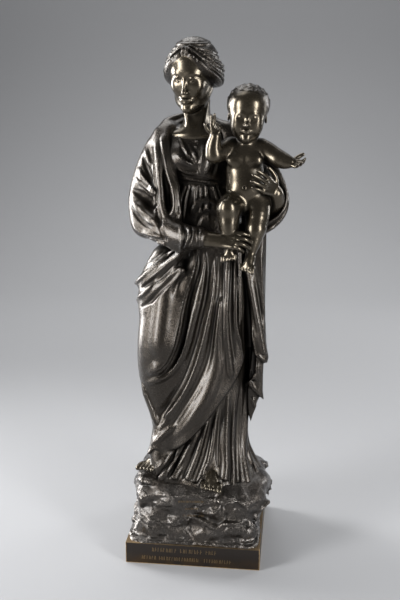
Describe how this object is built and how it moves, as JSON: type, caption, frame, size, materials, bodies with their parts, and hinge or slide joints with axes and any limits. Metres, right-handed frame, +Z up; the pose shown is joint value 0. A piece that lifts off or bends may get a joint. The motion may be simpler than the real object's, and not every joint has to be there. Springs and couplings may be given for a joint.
{
  "type": "madonna and child statue",
  "caption": "Standing draped mother holding a seated child on her arm, on a rough rock over a square plinth, cast in dark patinated bronze.",
  "frame": {"origin": "centre of the plinth's underside", "axes": "+Z up, the front faces -Y, +X to the viewer's right"},
  "size_m": [0.2646, 0.2148, 0.801],
  "materials": {
    "figure_bronze": "dark brown patinated bronze, satin, glossier on the skin",
    "base_bronze": "dark brown patinated bronze, rough cast rock, smooth plinth with rubbed golden edges"
  },
  "bodies": {
    "root": {"figure_group": "figure_bronze", "rock_base": "base_bronze"}
  },
  "joints": []
}
